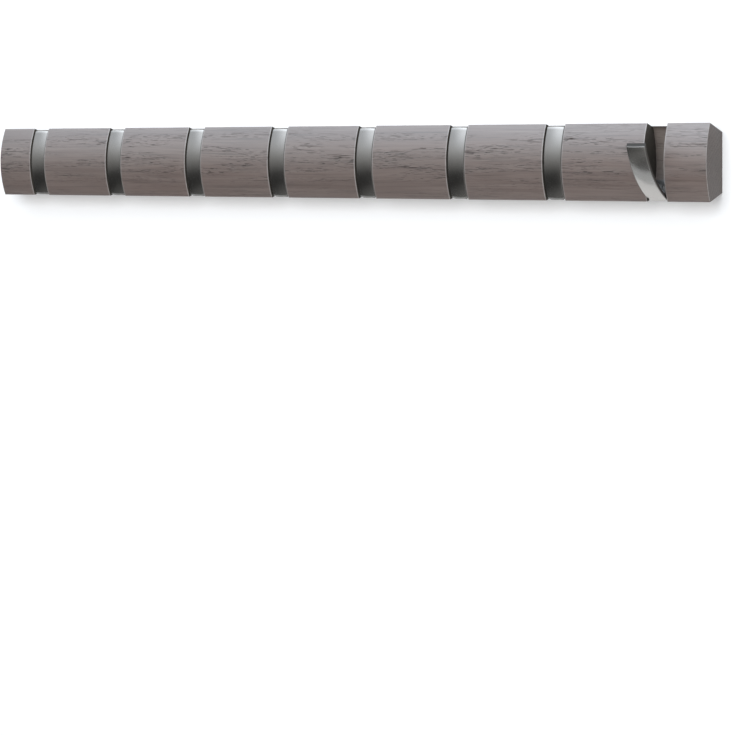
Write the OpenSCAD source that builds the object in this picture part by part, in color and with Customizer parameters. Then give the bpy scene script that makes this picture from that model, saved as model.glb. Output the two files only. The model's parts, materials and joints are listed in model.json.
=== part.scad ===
// Folding hook rack: a wooden rail for the wall with slots across its curved front.
// Each slot holds a curved metal hook that lies flush with the wood when it is closed
// and swings out about a pin at its lower end.
// X runs along the rail, the front faces -Y, Z is up.
// The origin is the middle of the back face, which lies on the wall.

/* [Rail] */
// Number of hooks, each in its own slot
hook_count = 8; // [4:1:10]
// Distance from one slot to the next
hook_pitch = 101.6; // [70:0.1:130]
// Height of the rail's front
rail_height = 69; // [60:0.5:90]
// Depth from the wall to the top and bottom front corners
edge_depth = 24.4; // [22:0.1:36]
// How far the curved front stands out past those corners
front_bulge = 7.6; // [5:0.1:10]
// How much lower the top is at the wall than at the front, and the same below
bevel_drop = 7.7; // [4:0.1:9]
// Break on the front edges of the slots and of the rail's ends
edge_break = 0.5; // [0.2:0.1:1]

/* [Slots] */
// Width of a slot
slot_width = 19.5; // [17:0.1:26]
// Radius of the scooped floor of a slot
floor_radius = 80; // [70:1:100]
// Wood left behind the deepest point of the floor
web_thickness = 7; // [5:0.1:9]
// Radius of the floor's curl toward the mouth, above and below
lip_radius = 7; // [5:0.5:8]
// Height of the curl's centre under the top of the rail
lip_drop = 9.3; // [8.5:0.1:12]
// Depth of the slot at its mouth in the top bevel
mouth_depth = 8.2; // [7.8:0.1:10]

/* [Hooks] */
// Gap between a hook and each wall of its slot
side_gap = 0.65; // [0.4:0.05:1]
// How far the middle of a closed hook lies under the wood's face
hook_recess = 0.3; // [0.1:0.1:0.8]
// How much lower the hook's long edges are than its middle
hook_crown = 0.9; // [0.4:0.1:1.2]
// Thickness of the hook along its middle
hook_thickness = 3.8; // [3.2:0.1:4.6]
// Distance from the rail's top down to the hook's front top edge
top_gap = 2.4; // [2:0.1:4]
// Slope of the hook's end face, rising toward the wall
tip_slope = 14; // [0:1:15]
// Swing from closed to open, in degrees
open_angle = 43; // [30:1:50]
// Which hook is shown open, counted from the left, or 0 for none
open_hook = 8; // [0:1:10]

/* [Hinge] */
// Distance of the pin behind the rail's front corners
pin_inset = 2.5; // [2.3:0.1:3.2]
// Height of the pin above the rail's bottom
pin_height = 4.6; // [4.4:0.1:5.4]
// Diameter of the hinge pin
pin_diameter = 2; // [1.6:0.1:2.2]
// Radial clearance of the knuckle's bore on the pin
bore_clearance = 0.05; // [0.03:0.01:0.08]
// Metal round the pin in an ear of the bracket
ear_wall = 0.7; // [0.6:0.05:0.9]
// Thickness of an ear
ear_thickness = 1.5; // [1.2:0.1:1.8]
// Thickness of a friction washer
washer_thickness = 0.4; // [0.3:0.05:0.5]
// Gap on each side of a washer
washer_gap = 0.1; // [0.08:0.01:0.15]
// Thickness of the pin's riveted head
pin_head = 0.6; // [0.4:0.1:0.8]
// Radius of the pin's riveted head beyond the pin
pin_head_rim = 0.5; // [0.3:0.1:0.6]
// Radius of the knuckle between the ears
knuckle_radius = 3.4; // [3.1:0.1:3.6]
// Height of the gusset that carries the knuckle, above the pin
gusset_height = 10; // [8:0.5:12]
// Length of the heel's flat under the knuckle
heel_length = 1.6; // [1:0.1:2]
// Gap left where the hook meets a stop
stop_gap = 0.25; // [0.2:0.05:0.4]

/* [Hinge bracket] */
// Wood left behind the bracket's seat
seat_web = 8.4; // [8:0.1:11]
// Thickness of the bracket's back plate
plate_thickness = 3.6; // [3:0.1:4.5]
// Play of the back plate between the slot's walls
plate_play = 0.1; // [0.05:0.05:0.3]
// Height of the ears above the pin
ear_height = 8.4; // [7:0.1:10]
// Thickness of the tongue under the knuckle
tongue_thickness = 2.4; // [2:0.1:3]

/* [Fasteners] */
// Diameter of the bracket screw
screw_diameter = 4; // [3.5:0.1:5]
// Diameter of the bracket screw's head
screw_head = 7.6; // [7:0.1:8.4]
// Height of the bracket screw's head
screw_head_height = 2.3; // [2:0.1:2.6]
// Depth of the counterbore in the back of the rail
counterbore_depth = 3.4; // [3:0.1:3.8]
// Radial clearance of a screw in its hole
screw_clearance = 0.05; // [0.03:0.01:0.1]
// Diameter of a hanger plate screw
plate_screw_diameter = 3; // [2.5:0.1:3.5]
// Length of a hanger plate screw
plate_screw_length = 13; // [10:0.5:16]

/* [Hanger plates] */
// Width of a hanger plate
hanger_width = 18; // [16:0.5:22]
// Height of a hanger plate
hanger_height = 44; // [42:0.5:46]
// Thickness of a hanger plate
hanger_thickness = 1.5; // [1:0.1:2]
// How far a hanger plate lies under the back face
hanger_recess = 0.2; // [0.1:0.1:0.5]
// Play of a hanger plate in its recess
hanger_play = 0.2; // [0.1:0.1:0.4]
// Radius of the keyhole's round entrance
keyhole_radius = 4.5; // [4:0.1:5]
// Width of the keyhole's neck
neck_width = 4.6; // [4:0.1:5]
// How far the neck rises above the centre of the entrance
neck_rise = 9; // [8:0.5:10]
// Depth of the pocket behind a keyhole
pocket_depth = 11; // [9:0.5:14]

/* [Hidden] */
$fn = 96;
small_fn = 48;
over = 1;
wood_colour = [0.47, 0.43, 0.41];
nickel_colour = [0.68, 0.69, 0.69];
bracket_colour = [0.56, 0.57, 0.57];
steel_colour = [0.74, 0.75, 0.76];
spring_colour = [0.36, 0.37, 0.39];
zinc_colour = [0.70, 0.71, 0.72];

half_height = rail_height / 2;
rail_length = hook_count * hook_pitch;
front_radius = (half_height * half_height + front_bulge * front_bulge) / (2 * front_bulge);
// Axis of the curved front, and of the hooks, which follow it
front_axis_y = front_radius - front_bulge - edge_depth;

hook_width = slot_width - 2 * side_gap;
hook_radius = front_radius - hook_recess;
hook_back_radius = hook_radius - hook_thickness;
hook_top = half_height - top_gap;
crown_radius = (hook_width * hook_width / 4 + hook_crown * hook_crown) / (2 * hook_crown);

pin_radius = pin_diameter / 2;
bore_radius = pin_radius + bore_clearance;
pin_y = pin_inset - edge_depth;
pin_z = pin_height - half_height;
pin_axis_distance = norm([pin_y - front_axis_y, pin_z]);
// The hook's face rolls under about the pin with this radius, a hair proud of the blade's
// own face so that the two cross
roll_proud = 0.08;
barrel_radius = hook_radius - pin_axis_distance + roll_proud;
// Direction from the curved front's axis to the pin, counted from the wall upward
pin_direction = 180 + asin(-pin_z / pin_axis_distance);
skirt_end = 250;

ear_radius = pin_radius + ear_wall;
ear_clearance = 0.25;
side_pocket = 2 * washer_gap + washer_thickness + ear_thickness + pin_head + 0.5;
knuckle_width = hook_width - 2 * side_pocket;
ear_inner = knuckle_width / 2 + 2 * washer_gap + washer_thickness;
ear_outer = ear_inner + ear_thickness;

seat_y = -seat_web;
plate_y = seat_y - plate_thickness;
floor_axis_y = -web_thickness - floor_radius;
seat_top = -sqrt(floor_radius * floor_radius - pow(seat_y - floor_axis_y, 2));
plate_top = seat_top - 0.3;
tongue_y = pin_y + barrel_radius + stop_gap;
// How far the bracket stays inside the lower bevel
tongue_lift = 0.5;
ear_top = pin_z + ear_height;

screw_radius = screw_diameter / 2;
screw_z = (plate_top + bevel_z(seat_y)) / 2;
// Block of wood that carries the left hanger plate, counted in slots from the left end
hanger_block = max(1, round(hook_count / 4));
hanger_xs = [-rail_length / 2 + hanger_block * hook_pitch, rail_length / 2 - hanger_block * hook_pitch];
hanger_y = -hanger_recess;
plate_screw_offset = hanger_height / 2 - 5.5;
entrance_z = -5;

// The lower bevel's height at a depth, and the upper one is its mirror
function bevel_z(y) = -half_height + bevel_drop * (y + edge_depth) / edge_depth;
function slot_x(i) = (i - (hook_count + 1) / 2) * hook_pitch;
function polar(r, a) = [r * cos(a), r * sin(a)];
function shift(points, by) = [for (p = points) p + by];
function flip(points) = [for (i = [len(points) - 1:-1:0]) [points[i][0], -points[i][1]]];
// Points on a circle about the origin, from one angle to another
function arc(r, from, to, steps) = [for (i = [0:steps]) polar(r, from + (to - from) * i / steps)];
// How far the curved front's circle lies in front of the wall at a height
function follow_y(r, z) = front_axis_y - sqrt(r * r - z * z);

hook_numbers = [for (i = [1:hook_count]) i];

// A side view, drawn in Y and Z, made solid along X about the middle
module along_x(width) {
    rotate([90, 0, 90]) linear_extrude(height = width, center = true) children();
}

// A section, drawn as radius and X, turned about an axis along X
module turn_about_x(y, z, from, angle) {
    translate([0, y, z]) rotate([90, 0, 90]) rotate([0, 0, from]) rotate_extrude(angle = angle) children();
}

// A rod along X, centred on the middle of a slot
module rod_x(r, length, y, z) {
    translate([0, y, z]) rotate([0, 90, 0]) cylinder(r = r, h = length, center = true, $fn = small_fn);
}

// A rod along Y from one depth to another
module rod_y(r, from, to, x, z) {
    translate([x, from, z]) rotate([-90, 0, 0]) cylinder(r = r, h = to - from, $fn = small_fn);
}

module rail_side() {
    intersection() {
        polygon([
            [0, bevel_z(0)],
            [0, -bevel_z(0)],
            [-edge_depth, half_height],
            [-edge_depth - front_bulge - over, half_height],
            [-edge_depth - front_bulge - over, -half_height],
            [-edge_depth, -half_height]
        ]);
        translate([front_axis_y, 0]) circle(r = front_radius, $fn = 180);
    }
}

// What a slot takes out of the rail: a scooped floor that curls forward to the mouth above
// and below, and a flat seat for the bracket at the bottom
module slot_side() {
    lip_z = half_height - lip_drop;
    lip_angle = asin(lip_z / (floor_radius - lip_radius));
    lip_centre = [floor_axis_y, 0] + polar(floor_radius - lip_radius, lip_angle);
    mouth_y = mouth_depth - edge_depth;
    mouth_angle = acos((mouth_y - lip_centre[0]) / lip_radius);
    reach = half_height + 5;
    front = -edge_depth - front_bulge - 5;
    upper_curl = shift(arc(lip_radius, lip_angle, mouth_angle, 6), lip_centre);
    floor_curve = shift(arc(floor_radius, -lip_angle, lip_angle, 16), [floor_axis_y, 0]);
    polygon(concat(
        [[front, -reach], [mouth_y, -reach]],
        flip(upper_curl),
        [for (i = [1:len(floor_curve) - 2]) floor_curve[i]],
        upper_curl,
        [[mouth_y, reach], [front, reach]]
    ));
    translate([front, -reach]) square([seat_y - front, seat_top + reach]);
}

// A ring that breaks the front edge of a wall of wood that ends at x
module front_edge_break(x, side) {
    c = edge_break;
    translate([x, 0, 0]) turn_about_x(front_axis_y, 0, 0, 360) polygon([
        [front_radius - c, 0],
        [front_radius + over, -side * (c + over)],
        [front_radius + over, side * over],
        [front_radius - c, side * over]
    ]);
}

module hanger_side(play) {
    straight = hanger_height - hanger_width;
    square([hanger_width + 2 * play, straight], center = true);
    for (end = [-1, 1]) translate([0, end * straight / 2]) circle(r = hanger_width / 2 + play);
}

// An outline drawn in X and Z, made solid from one depth to another
module along_y(from, to) {
    translate([0, to, 0]) rotate([90, 0, 0]) linear_extrude(height = to - from) children();
}

module keyhole_pocket_side() {
    room = keyhole_radius + 1.5;
    translate([-room, entrance_z]) square([2 * room, neck_rise]);
    for (z = [0, neck_rise]) translate([0, entrance_z + z]) circle(r = room);
}

module rail() {
    color(wood_colour) difference() {
        along_x(rail_length) rail_side();
        for (i = hook_numbers) {
            translate([slot_x(i), 0, 0]) along_x(slot_width) slot_side();
            for (side = [-1, 1]) front_edge_break(slot_x(i) + side * slot_width / 2, -side);
            rod_y(screw_radius + 0.2, seat_y - over, over, slot_x(i), screw_z);
            rod_y(screw_head / 2 + 0.4, -counterbore_depth, over, slot_x(i), screw_z);
        }
        for (side = [-1, 1]) front_edge_break(side * rail_length / 2, side);
        for (x = hanger_xs) {
            translate([x, 0, 0]) along_y(hanger_y - hanger_thickness, over) hanger_side(hanger_play);
            translate([x, 0, 0]) along_y(-pocket_depth, over) keyhole_pocket_side();
            for (end = [-1, 1]) rod_y(
                plate_screw_diameter / 2 + screw_clearance,
                hanger_y - plate_screw_length - over, over, x, end * plate_screw_offset
            );
        }
    }
}

// A hook's section: the crowned face at a radius, down to an inner radius
module crowned_section(outer, inner, width) {
    intersection() {
        translate([inner, -width / 2]) square([outer - inner + over, width]);
        translate([outer - crown_radius, 0]) circle(r = crown_radius, $fn = 180);
    }
}

// The curved blade from above its tip down to the pin, then rolled under about the pin
module hook_blade() {
    blade_start = 150;
    roll_start = pin_direction - 35;
    difference() {
        turn_about_x(front_axis_y, 0, blade_start, pin_direction - blade_start)
            crowned_section(hook_radius, hook_back_radius, hook_width);
        translate([0, follow_y(hook_radius, hook_top), hook_top]) rotate([tip_slope, 0, 0])
            translate([-hook_width, -hook_width, 0]) cube([2 * hook_width, 2 * hook_width, half_height]);
    }
    turn_about_x(pin_y, pin_z, roll_start, skirt_end - roll_start)
        crowned_section(barrel_radius, 0, hook_width - roll_proud);
}

// The knuckle between the ears, its gusset up the blade, and the heel that stops the hook when open
module hook_knuckle() {
    pin = [pin_y, pin_z];
    gusset_z = pin_z + gusset_height;
    corner = norm([barrel_radius, heel_length]);
    corner_angle = -open_angle - atan(heel_length / barrel_radius);
    rod_x(knuckle_radius, knuckle_width, pin_y, pin_z);
    along_x(knuckle_width) polygon([
        pin + polar(knuckle_radius / 2, 180),
        pin + polar(knuckle_radius - 0.1, 50),
        [follow_y(hook_back_radius, gusset_z) - 0.5, gusset_z],
        [follow_y(hook_back_radius, gusset_z) - hook_thickness / 2, gusset_z]
    ]);
    along_x(knuckle_width) polygon([
        pin,
        pin + polar(barrel_radius - 0.05, skirt_end - 360 - 2),
        pin + polar(corner, corner_angle),
        pin + polar(barrel_radius, -open_angle),
        pin + polar(knuckle_radius - 0.1, -open_angle + 24)
    ]);
}

module hook(i) {
    swing = i == open_hook ? open_angle : 0;
    color(nickel_colour) translate([slot_x(i), pin_y, pin_z]) rotate([swing, 0, 0])
        translate([0, -pin_y, -pin_z]) difference() {
            union() {
                hook_blade();
                hook_knuckle();
            }
            rod_x(bore_radius, hook_width + 2 * over, pin_y, pin_z);
            for (side = [-1, 1]) translate([side * (knuckle_width + side_pocket + over) / 2, 0, 0])
                rod_x(ear_radius + ear_clearance, side_pocket + over, pin_y, pin_z);
        }
}

module ear_side() {
    translate([pin_y, pin_z]) circle(r = ear_radius, $fn = small_fn);
    intersection() {
        polygon([
            [pin_y, pin_z - ear_radius],
            [plate_y + over, bevel_z(plate_y + over) + tongue_lift],
            [plate_y + over, ear_top],
            [pin_y - 10, ear_top],
            [pin_y - 10, pin_z + 0.4],
            [pin_y, pin_z]
        ]);
        translate([front_axis_y, 0]) circle(r = hook_back_radius - stop_gap, $fn = 180);
    }
}

module hinge_bracket(i) {
    plate_bottom = bevel_z(seat_y) + tongue_lift;
    color(bracket_colour) translate([slot_x(i), 0, 0]) difference() {
        union() {
            along_x(slot_width - 2 * plate_play)
                translate([plate_y, plate_bottom]) square([plate_thickness, plate_top - plate_bottom]);
            for (side = [-1, 1]) translate([side * (ear_inner + ear_outer) / 2, 0, 0])
                along_x(ear_thickness) ear_side();
            along_x(2 * ear_inner + over) polygon([
                [tongue_y, bevel_z(tongue_y) + tongue_lift],
                [seat_y, bevel_z(seat_y) + tongue_lift],
                [seat_y, bevel_z(seat_y) + tongue_lift + tongue_thickness],
                [tongue_y, bevel_z(tongue_y) + tongue_lift + tongue_thickness]
            ]);
        }
        rod_x(pin_radius, slot_width, pin_y, pin_z);
        rod_y(screw_radius + screw_clearance, plate_y - over, seat_y + over, 0, screw_z);
    }
}

module hinge_pin(i) {
    color(steel_colour) translate([slot_x(i), 0, 0]) {
        rod_x(pin_radius, 2 * ear_outer, pin_y, pin_z);
        for (side = [-1, 1]) translate([side * (ear_outer + pin_head / 2), 0, 0])
            rod_x(pin_radius + pin_head_rim, pin_head, pin_y, pin_z);
    }
}

module friction_washers() {
    middle = knuckle_width / 2 + washer_gap + washer_thickness / 2;
    color(spring_colour) for (i = hook_numbers, side = [-1, 1])
        translate([slot_x(i) + side * middle, 0, 0]) difference() {
            rod_x(ear_radius, washer_thickness, pin_y, pin_z);
            rod_x(bore_radius, washer_thickness + over, pin_y, pin_z);
        }
}

// The cross in a screw's head, cut from a depth out past the head
module cross_recess(x, z, from, to, span) {
    for (turn = [0, 90]) translate([x, (from + to) / 2, z]) rotate([0, turn, 0])
        cube([span, to - from, span / 4.5], center = true);
}

module bracket_screws() {
    head_top = screw_head_height - counterbore_depth;
    color(steel_colour) for (i = hook_numbers) difference() {
        union() {
            rod_y(screw_radius, plate_y + 0.3, over - counterbore_depth, slot_x(i), screw_z);
            rod_y(screw_head / 2, -counterbore_depth, head_top, slot_x(i), screw_z);
        }
        cross_recess(slot_x(i), screw_z, head_top - 1.4, head_top + over, screw_head * 0.55);
    }
}

module keyhole_plate(x) {
    color(zinc_colour) translate([x, 0, 0]) difference() {
        along_y(hanger_y - hanger_thickness, hanger_y) hanger_side(0);
        rod_y(keyhole_radius, hanger_y - hanger_thickness - over, over, 0, entrance_z);
        rod_y(neck_width / 2, hanger_y - hanger_thickness - over, over, 0, entrance_z + neck_rise);
        translate([-neck_width / 2, hanger_y - hanger_thickness - over, entrance_z])
            cube([neck_width, hanger_thickness + 2 * over, neck_rise]);
        for (end = [-1, 1]) translate([0, hanger_y, end * plate_screw_offset]) screw_seat(0.05);
    }
}

// The cone under a countersunk head, its mouth at the origin facing the wall
module screw_seat(play) {
    r = plate_screw_diameter / 2;
    rotate([90, 0, 0]) translate([0, 0, -play])
        cylinder(r1 = 2 * r + 2 * play, r2 = r + play, h = r + play, $fn = small_fn);
    rotate([90, 0, 0]) cylinder(r = r + play, h = hanger_thickness + over, $fn = small_fn);
}

module plate_screw() {
    r = plate_screw_diameter / 2;
    tip = 3;
    rotate([90, 0, 0]) {
        cylinder(r1 = 2 * r, r2 = r, h = r, $fn = small_fn);
        translate([0, 0, r]) cylinder(r = r, h = plate_screw_length - tip - r, $fn = small_fn);
        translate([0, 0, plate_screw_length - tip]) cylinder(r1 = r, r2 = 0.3, h = tip, $fn = small_fn);
    }
}

module plate_screws() {
    color(steel_colour) for (x = hanger_xs, end = [-1, 1]) difference() {
        translate([x, hanger_y, end * plate_screw_offset]) plate_screw();
        cross_recess(x, end * plate_screw_offset, hanger_y - 1, hanger_y + over, plate_screw_diameter);
    }
}

rail();
for (i = hook_numbers) hook(i);
for (i = hook_numbers) hinge_bracket(i);
for (i = hook_numbers) hinge_pin(i);
friction_washers();
bracket_screws();
keyhole_plate(hanger_xs[0]);  // keyhole_plate_left
keyhole_plate(hanger_xs[1]);  // keyhole_plate_right
plate_screws();
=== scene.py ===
"""Folding hook rack: its looks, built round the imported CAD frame.

Sizes are in millimetres in the frame's axes: X runs along the rail, -Y faces the room, Z is up.
The materials and the studio are in metres.
"""

import json
import math

import bmesh
import bpy
import numpy as np
from mathutils import Matrix, Vector


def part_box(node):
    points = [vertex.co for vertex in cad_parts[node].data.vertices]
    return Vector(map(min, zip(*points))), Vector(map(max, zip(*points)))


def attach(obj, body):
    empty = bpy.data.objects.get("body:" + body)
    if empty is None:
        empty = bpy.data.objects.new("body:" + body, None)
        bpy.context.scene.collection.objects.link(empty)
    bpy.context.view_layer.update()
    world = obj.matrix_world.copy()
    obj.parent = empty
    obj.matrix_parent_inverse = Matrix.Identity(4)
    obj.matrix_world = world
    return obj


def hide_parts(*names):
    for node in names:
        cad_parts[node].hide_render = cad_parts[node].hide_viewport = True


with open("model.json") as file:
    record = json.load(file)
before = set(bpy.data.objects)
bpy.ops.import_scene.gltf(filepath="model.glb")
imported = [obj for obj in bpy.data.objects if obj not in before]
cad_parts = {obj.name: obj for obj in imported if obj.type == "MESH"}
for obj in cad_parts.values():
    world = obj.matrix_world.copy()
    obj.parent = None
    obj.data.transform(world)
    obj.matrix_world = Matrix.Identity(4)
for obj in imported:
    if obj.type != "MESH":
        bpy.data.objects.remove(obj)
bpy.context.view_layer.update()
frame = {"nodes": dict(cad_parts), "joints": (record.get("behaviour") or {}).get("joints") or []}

# Rail. One length of hardwood, stained grey-brown under a satin lacquer. Its front is moulded
# to a shallow curve, its top and bottom are bevelled toward the wall, and slots are routed
# across it for the hooks. The back is recessed for the hanger plates and drilled for screws.
MM = 0.001
rail_low, rail_high = (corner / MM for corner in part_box("rail"))
half_length = rail_high.x
half_height = rail_high.z
edge_depth = 24.4
bevel_drop = 7.7
slot_width = 19.5
floor_radius = 80.0
web_thickness = 7.0
lip_radius = 7.0
lip_drop = 9.3
mouth_depth = 8.2
seat_y = -8.4
corner_round = 0.6
lip_edge_round = 0.07
seat_edge_round = 0.4
end_edge_round = 0.42
slot_edge_round = 0.4
# A light worn band beside the slots' edges, partly a painted highlight.
worn_highlight_band = 0.8
end_grain_stain = 0.42
front_steps = 48
front_clear_of_corner = 0.5
sharp_from = 38
quarter_turn = np.radians(np.linspace(90, 0, 6))
front_bulge = -rail_low.y - edge_depth
front_radius = (half_height**2 + front_bulge**2) / (2 * front_bulge)
front_axis_y = front_radius - front_bulge - edge_depth
hook_places = [tuple(v / MM for v in joint["pos_m"]) for joint in frame["joints"]]


def bevel_z(y):
    """Height of the top bevel at a depth; the bottom one is its mirror."""
    return half_height - bevel_drop * (y + edge_depth) / edge_depth


def arc(centre, radius, start, end, steps):
    """Points (Y, Z) on a circle, by angles in degrees from +Y toward +Z."""
    turns = np.radians(np.linspace(start, end, steps + 1))
    return np.stack([centre[0] + radius * np.cos(turns), centre[1] + radius * np.sin(turns)], 1)


def rounded_corner(before, corner, after, radius, steps=4):
    """Points that round a corner between two straight runs."""
    before, corner, after = (np.array(p, float) for p in (before, corner, after))
    to_before = (before - corner) / np.linalg.norm(before - corner)
    to_after = (after - corner) / np.linalg.norm(after - corner)
    half_angle = math.acos(float(to_before @ to_after)) / 2
    reach = radius / math.tan(half_angle)
    middle = (to_before + to_after) / np.linalg.norm(to_before + to_after)
    centre = corner + middle * radius / math.sin(half_angle)
    start, end = corner + to_before * reach - centre, corner + to_after * reach - centre
    shares = np.linspace(0, 1, steps + 1)[:, None]
    points = start * (1 - shares) + end * shares
    return centre + points * radius / np.linalg.norm(points, axis=1)[:, None]


def inward(points):
    """Unit vectors into a closed outline (Y, Z) that runs forward along the top and back below."""
    along = np.roll(points, -1, 0) - np.roll(points, 1, 0)
    along /= np.linalg.norm(along, axis=1)[:, None]
    return np.stack([-along[:, 1], along[:, 0]], 1)


def written(bm, mesh):
    """The mesh, filled from a bmesh that isn't needed any more."""
    bm.to_mesh(mesh)
    bm.free()
    return mesh


def shaded(mesh, sharp_angle):
    """Smooth shading, with edges kept sharp from an angle."""
    mesh.shade_smooth()
    mesh.set_sharp_from_angle(angle=math.radians(sharp_angle))
    return mesh


def finish_mesh(name, bm, sharp_angle=sharp_from):
    """A mesh from a closed shape in millimetres: metres, outward faces and smooth shading."""
    bmesh.ops.scale(bm, vec=(MM, MM, MM), verts=bm.verts)
    bmesh.ops.recalc_face_normals(bm, faces=bm.faces)
    return shaded(written(bm, bpy.data.meshes.new(name)), sharp_angle)


def add_object(name, data):
    """A new object in the scene, at the origin."""
    thing = bpy.data.objects.new(name, data)
    bpy.context.scene.collection.objects.link(thing)
    return thing


def new_piece(name, mesh, material):
    """A new object in the scene with one material."""
    piece = add_object(name, mesh)
    mesh.materials.clear()
    mesh.materials.append(material)
    return piece


def rail_outlines():
    """The rail's outline and its outline in a slot, as (shared start, own part, shared end)."""
    back = half_height - bevel_drop
    mouth_y = mouth_depth - edge_depth
    lip_z = half_height - lip_drop
    floor_y = -web_thickness - floor_radius
    front_angle = math.degrees(math.asin(half_height / front_radius)) - front_clear_of_corner
    lip_angle = math.degrees(math.asin(lip_z / (floor_radius - lip_radius)))
    lip_y = floor_y + (floor_radius - lip_radius) * math.cos(math.radians(lip_angle))
    mouth_angle = math.degrees(math.acos((mouth_y - lip_y) / lip_radius))
    seat_angle = math.degrees(math.acos((seat_y - floor_y) / floor_radius))
    top_back = rounded_corner((0, 0), (0, back), (-edge_depth, half_height), corner_round)
    bottom_back = (top_back * (1, -1))[::-1]
    front = arc((front_axis_y, 0), front_radius, 180 - front_angle, 180 + front_angle, front_steps)
    top_front = rounded_corner((0, back), (-edge_depth, half_height), front[0], corner_round)
    bottom_front = (top_front * (1, -1))[::-1]
    lip = rounded_corner((0, back), (mouth_y, bevel_z(mouth_y)), (mouth_y, 0), lip_edge_round, 2)
    seat = rounded_corner((seat_y, 0), (seat_y, -bevel_z(seat_y)), (0, -back), seat_edge_round)
    solid = np.vstack([top_front, front[1:-1], bottom_front])
    slotted = np.vstack([
        lip[1:],
        arc((lip_y, lip_z), lip_radius, mouth_angle, lip_angle, 10)[1:],
        arc((floor_y, 0), floor_radius, lip_angle, -seat_angle, 26)[1:],
        seat[:-1],
    ])
    return np.vstack([top_back, lip[:1]]), solid, slotted, np.vstack([seat[-1:], bottom_back])


def join_rings(bm, first, second):
    """Faces between two closed rings of as many vertices."""
    for k in range(len(first)):
        nxt = (k + 1) % len(first)
        bm.faces.new((first[k], first[nxt], second[nxt], second[k]))


def add_solid(bm, rings):
    """A closed solid through a series of rings, capped at both ends."""
    for first, second in zip(rings, rings[1:]):
        join_rings(bm, first, second)
    bm.faces.new(rings[0])
    bm.faces.new(rings[-1])


def rail_section(bm, marks, outlines, slot_x, side):
    """From the middle of a slot through its wall to the full outline of the wood beside it.

    The wall's edge is rounded, with a light worn band that is partly a painted highlight,
    fading out where the slot and the wood share an outline.
    The wall and the slot's floor are marked as freshly cut wood: the wall takes more stain and
    is darkened further as painted shade, and the floor is painted lighter as painted light.
    """
    shared_start, solid, slotted, shared_end = outlines
    starts, ends, owns = len(shared_start), len(shared_end), len(solid)
    wear_and_highlight, routed = marks
    outline = np.vstack([shared_start, solid, shared_end])
    near_shared = np.minimum(np.arange(owns), np.arange(owns)[::-1]) + 1.0
    fade = np.concatenate([np.zeros(starts), np.clip(near_shared / 3, 0, 1), np.zeros(ends)])
    wall_x = slot_x + side * slot_width / 2
    rings = []
    for turn in quarter_turn:
        x = wall_x + side * slot_edge_round * (1 - math.sin(turn))
        points = outline + inward(outline) * (slot_edge_round * (1 - math.cos(turn)) * fade)[:, None]
        ring = [bm.verts.new((x, y, z)) for y, z in points]
        for vert, share in zip(ring, fade):
            # Light worn band on the rounding, partly a painted highlight.
            vert[wear_and_highlight] = share * math.cos(turn)
            # Marked near the wall for end-grain stain, darkened further as painted shade.
            vert[routed] = max(0.0, math.sin(turn) * 2 - 1) if share else 0.0
        rings.append(ring)
    x = wall_x + side * (slot_edge_round + worn_highlight_band)
    rings.append([bm.verts.new((x, y, z)) for y, z in outline])
    wall = rings[0]
    floor = [bm.verts.new((wall_x, y, z)) for y, z in slotted]
    middle = [bm.verts.new((slot_x, y, z)) for y, z in np.vstack([shared_start, slotted, shared_end])]
    # Marked so that the slot's floor is painted lighter, as painted light.
    for vert in floor + middle[starts:-ends]:
        vert[routed] = 1.0
    bm.faces.new(wall[starts - 1:starts + owns + 1] + floor[::-1])
    join_rings(bm, middle, wall[:starts] + floor + wall[-ends:])
    for first, second in zip(rings, rings[1:]):
        join_rings(bm, first, second)
    return rings[-1]


def new_rail_mesh():
    """An empty mesh with the two marks that the wood's finish reads."""
    bm = bmesh.new()
    return bm, [bm.verts.layers.float.new(name) for name in ("edge_wear", "routed")]


def rail_bay(outlines, pitch):
    """One block of wood with half a slot at each side."""
    bm, marks = new_rail_mesh()
    first = rail_section(bm, marks, outlines, 0, 1)
    join_rings(bm, first, rail_section(bm, marks, outlines, pitch, -1))
    return finish_mesh("rail_bay", bm)


def rail_end(outlines, slot_x, side):
    """The half block past the last slot, with its end rounded over."""
    bm, marks = new_rail_mesh()
    wear_and_highlight, routed = marks
    last = rail_section(bm, marks, outlines, slot_x, side)
    outline = np.array([vert.co[1:] for vert in last])
    for turn in np.radians(np.linspace(0, 90, 5)):
        x = side * (half_length - end_edge_round * (1 - math.sin(turn)))
        points = outline + inward(outline) * end_edge_round * (1 - math.cos(turn))
        ring = [bm.verts.new((x, y, z)) for y, z in points]
        for vert in ring:
            # A light worn band round the end, partly a painted highlight.
            vert[wear_and_highlight] = math.sin(2 * turn)
            vert[routed] = end_grain_stain * math.sin(turn)
        join_rings(bm, last, ring)
        last = ring
    bm.faces.new(last)
    return finish_mesh("rail_end", bm)


weld_distance = 0.000002


def evaluated_mesh(thing, name):
    """The plain mesh that an object's modifiers make of it; the object is removed."""
    evaluated = thing.evaluated_get(bpy.context.evaluated_depsgraph_get())
    mesh = bpy.data.meshes.new_from_object(evaluated)
    bpy.data.objects.remove(thing)
    mesh.name = name
    return mesh


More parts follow.
